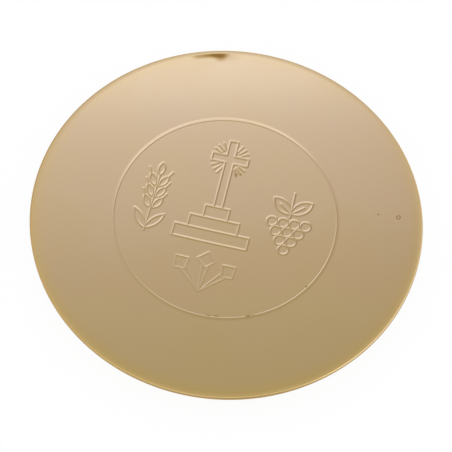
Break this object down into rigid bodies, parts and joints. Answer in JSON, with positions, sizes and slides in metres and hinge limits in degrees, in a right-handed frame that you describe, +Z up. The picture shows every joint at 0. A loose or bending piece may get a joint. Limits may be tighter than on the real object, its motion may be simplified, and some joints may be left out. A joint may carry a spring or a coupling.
{
  "type": "paten",
  "caption": "Round shallow gilded plate that carries a wafer of bread, with a rounded lip and an engraved cross, nails, wheat and grapes inside a ring.",
  "frame": {"origin": "middle of the flat on the underside, where the plate rests", "axes": "+Z up out of the hollow face, +Y towards the top of the engraved cross, +X to the right of it"},
  "size_m": [0.14, 0.14, 0.0075],
  "materials": {
    "gold_plate": "polished",
    "gold_satin": "satin",
    "brass": "satin"
  },
  "bodies": {
    "root": {"brass_core": "brass", "gilt_face": "gold_plate", "gilt_underside": "gold_satin"}
  },
  "joints": []
}
